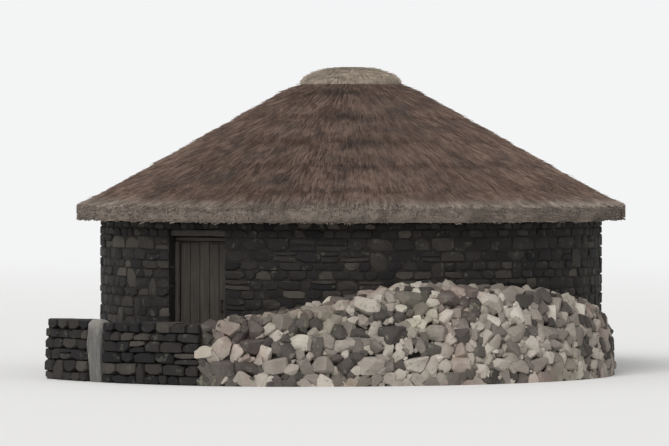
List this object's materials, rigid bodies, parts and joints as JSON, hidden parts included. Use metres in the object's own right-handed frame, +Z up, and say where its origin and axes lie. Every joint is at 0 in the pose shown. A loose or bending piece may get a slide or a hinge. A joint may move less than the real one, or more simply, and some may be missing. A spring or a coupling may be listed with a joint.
{
  "type": "rondavel hut",
  "caption": "Round dry-stone hut with a low conical thatched roof, a hinged plank door, a low forecourt wall and a stone bank along its foot",
  "frame": {"origin": "on the axis of the round wall, at the lowest ground, in the middle of the floor's underside", "axes": "+Z up, -Y out through the doorway, +X to the right of someone who faces the doorway from outside"},
  "size_m": [7.4413, 7.9997, 3.9654],
  "materials": {
    "dark_stone": "rough split basalt rubble, nearly black with a brown-grey bloom, bedded in mud",
    "pale_stone": "loose split field stones, pale warm grey, patchily green and purple-brown",
    "earth": "beaten and smeared clay earth, matte",
    "door_wood": "weathered unpainted planks",
    "pole_wood": "barked poles and saplings, smoke-darkened",
    "iron": "hand-forged iron, dull and slightly rusted",
    "thatch": "weathered grass thatch, grey-brown",
    "eave_thatch": "cut straw ends and newer grass, paler"
  },
  "bodies": {
    "hut": {"earth_floor": "earth", "threshold_stone": "dark_stone", "wall_right_of_door": "dark_stone", "wall_front_right": "dark_stone", "wall_right": "dark_stone", "wall_back_right": "dark_stone", "wall_back_mid_right": "dark_stone", "wall_back_mid_left": "dark_stone", "wall_back_left": "dark_stone", "wall_left": "dark_stone", "wall_front_left": "dark_stone", "wall_left_of_door": "dark_stone", "wall_over_door": "dark_stone", "door_lintel": "pole_wood", "frame_left_post": "door_wood", "frame_right_post": "door_wood", "frame_head": "door_wood", "hinge_pins": "iron", "wall_plate": "pole_wood", "wall_head_packing": "earth", "long_rafters": "pole_wood", "short_rafters": "pole_wood", "roof_hoops": "pole_wood", "tie_hoop": "pole_wood", "crown_ring": "pole_wood", "thatch_eave_course": "eave_thatch", "thatch_course_2": "thatch", "thatch_course_3": "thatch", "thatch_course_4": "thatch", "thatch_course_5": "thatch", "thatch_crown_course": "thatch", "thatch_cap": "eave_thatch", "stone_bank_left": "pale_stone", "stone_bank_middle": "pale_stone", "stone_bank_right": "pale_stone", "stone_bank_end": "pale_stone", "low_wall_end": "dark_stone", "upright_stone": "pale_stone", "low_wall_middle": "dark_stone", "low_wall_root": "dark_stone"},
    "door": {"door_planks": "door_wood", "door_ledges": "door_wood", "door_straps": "iron", "door_handle": "pole_wood"}
  },
  "joints": [
    {"name": "door_swing", "type": "hinge", "parent": "hut", "child": "door", "pos_m": [-0.3665, -3.014, 1], "axis": [0, 0, 1], "range_deg": [0, 90]}
  ]
}
